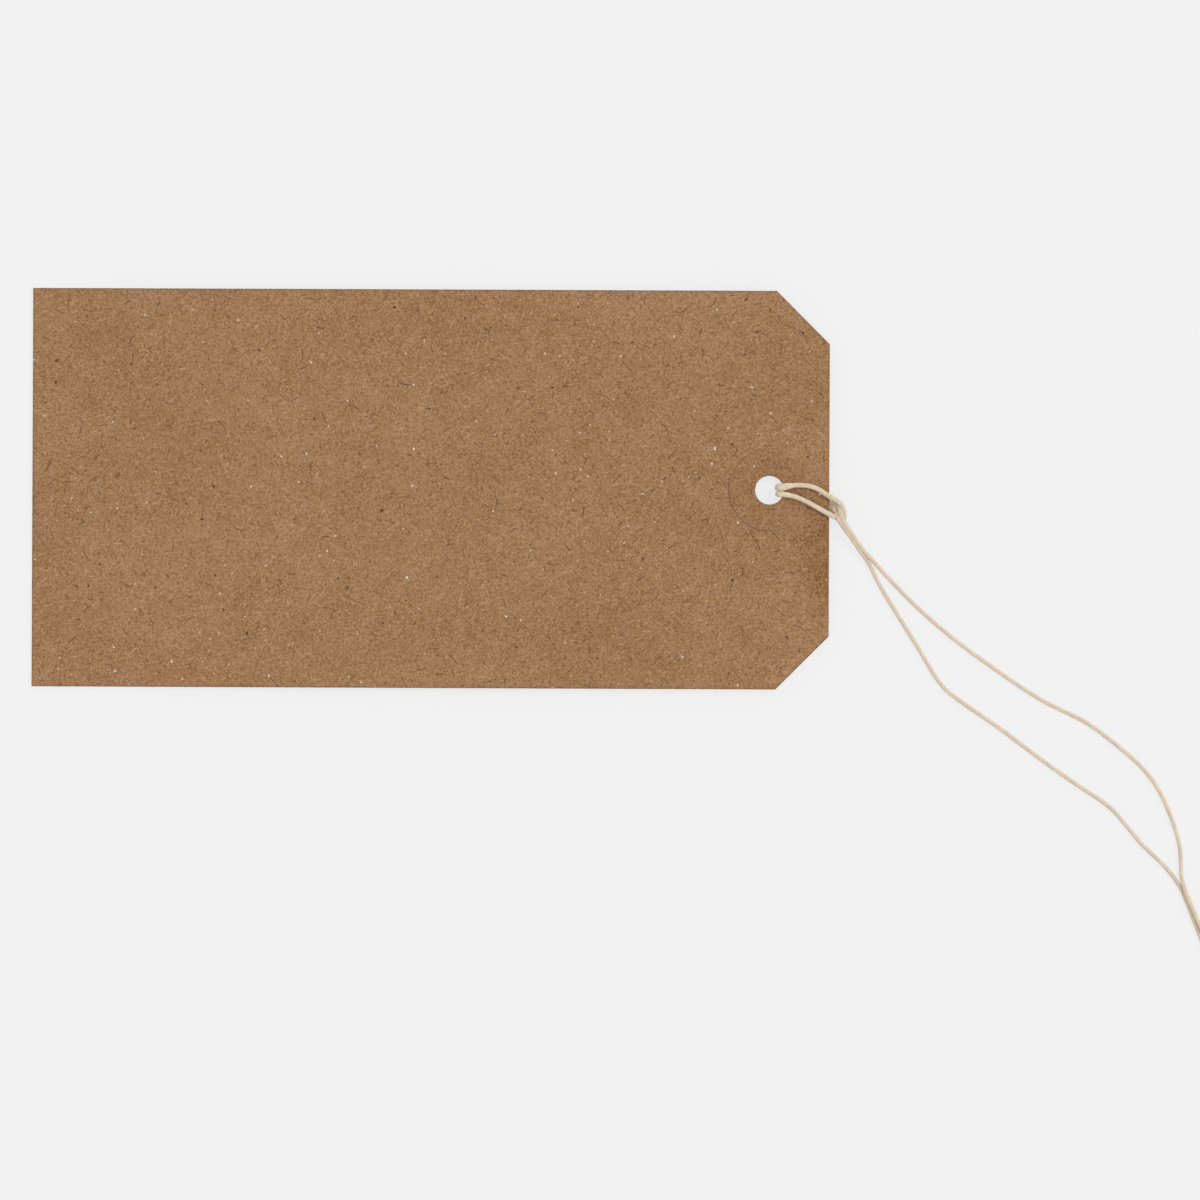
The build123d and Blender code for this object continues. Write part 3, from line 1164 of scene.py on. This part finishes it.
def ring_piece(name, profile, face, material, ripple):
    """A closed ring round the hole. The profile gives radius, height, share of the ripple, and wear."""
    points = []
    wear_and_highlight = []
    count = len(profile)
    for step in range(ring_steps):
        angle = math.tau * step / ring_steps
        for radius, height, share, wear in profile:
            reach = radius + share * ripple(angle)
            points.append((hole_x + reach * math.cos(angle), reach * math.sin(angle), height * face))
            wear_and_highlight.append(wear * rim_wear_and_highlight(angle))
    faces = []
    for here, there in ring_edges(0, ring_steps):
        for k, after in ring_edges(0, count):
            corners = (here * count + k, here * count + after, there * count + after, there * count + k)
            faces.append(corners if face < 0 else corners[::-1])
    piece = mesh_object(name, points, faces, material)
    add_wear_and_highlight(piece, wear_and_highlight)
    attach(piece, "tag")
    return piece


def make_washers():
    """A paper washer and a film of gum on each face of the card."""
    low, high = glue_top, patch_high.z
    inner, outer = hole_radius, patch_radius
    washer_profile = [
        (inner, low, 0.0, 0.8),
        (inner, high - 0.06, 0.0, 0.8),
        (inner + 0.03, high - 0.015, 0.0, 0.4),
        (inner + 0.12, high, 0.0, 0.0),
        (inner + 1.2, high, 0.0, 0.0),
        (outer - 1.4, high, 0.0, 0.0),
        (outer - 0.28, high, 0.3, 0.0),
        (outer - 0.11, high - 0.012, 1.0, 0.55),
        (outer - 0.03, high - 0.045, 1.0, 0.9),
        (outer, low + 0.03, 1.0, 0.9),
        (outer - 0.01, low, 1.0, 0.9),
    ]
    gum_profile = [
        (inner + 0.005, card_half, 0.0, 0.0),
        (inner + 0.005, low, 0.0, 0.0),
        (outer - 0.05, low, 0.0, 0.0),
        (outer, low - 0.004, 0.6, 0.0),
        (outer, card_half + 0.008, 1.0, 0.0),
        (outer, card_half, 1.0, 0.0),
    ]
    for name, face in (("front", 1), ("rear", -1)):
        washer = ring_piece(f"washer_{name}", washer_profile, face, kraft_washer, cut_ripple)
        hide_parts(f"{name}_patch")
        gum_ring = ring_piece(f"gum_{name}", gum_profile, face, gum, gum_and_shade_ripple)
        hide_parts(f"{name}_patch_glue")


make_card()
make_washers()


# Floor and light

floor_tone = 0.887
floor_colour = (floor_tone, floor_tone, floor_tone, 1.0)
floor_reach = 8000.0

# How much of the backdrop, which has the floor's tone, the camera sees through the floor
floor_clearness = 0.82


def make_floor():
    """A pale floor just under the tag. The camera sees much of the backdrop through it, so that shadows
    stay light and the loop still shows where it folds down past the floor."""
    shader = Shader("floor")
    shader.set(Base_Color=floor_colour, Roughness=1.0)
    shader.surface.inputs["Specular IOR Level"].default_value = 0.0
    clear = shader.node("ShaderNodeBsdfTransparent")
    share = shader.math("MULTIPLY", shader.background_rays(), floor_clearness)
    both = shader.node("ShaderNodeMixShader", {0: share, 1: shader.surface.outputs[0], 2: clear.outputs[0]})
    shader.feed(shader.tree.nodes["Material Output"].inputs["Surface"], both.outputs[0])
    corners = ((-1, -1), (1, -1), (1, 1), (-1, 1))
    points = [(x * floor_reach, y * floor_reach, surface) for x, y in corners]
    mesh_object("floor", points, [(0, 1, 2, 3)], shader.material, smooth=[False])


# The share of the light that comes from all round, and where the lamp is
sky_share = 0.80
sun_tilt = math.radians(42)
sun_side = math.radians(25)


def make_light():
    """Even light from all round, and a soft lamp from the right."""
    world = bpy.data.worlds.new("sky")
    sky = Nodes(world)
    light = sky.tree.nodes["Background"]
    light.inputs["Color"].default_value = (1.0, 1.0, 1.0, 1.0)
    light.inputs["Strength"].default_value = sky_share
    seen = sky.node("ShaderNodeBackground", {"Color": floor_colour, "Strength": 1.0})
    feeds = {0: sky.background_rays(), 1: light.outputs[0], 2: seen.outputs[0]}
    mixed = sky.node("ShaderNodeMixShader", feeds)
    sky.feed(sky.tree.nodes["World Output"].inputs["Surface"], mixed.outputs[0])
    bpy.context.scene.world = world
    lamp = bpy.data.lights.new("lamp", "SUN")
    lamp.angle = math.radians(25)
    lamp.energy = (1 - sky_share) * math.pi / math.cos(sun_tilt)
    sun = add_object("lamp", lamp)
    sun.rotation_mode = "XYZ"
    sun.rotation_euler = (0.0, sun_tilt, sun_side)


make_floor()
make_light()
bpy.context.scene.view_settings.view_transform = "Standard"
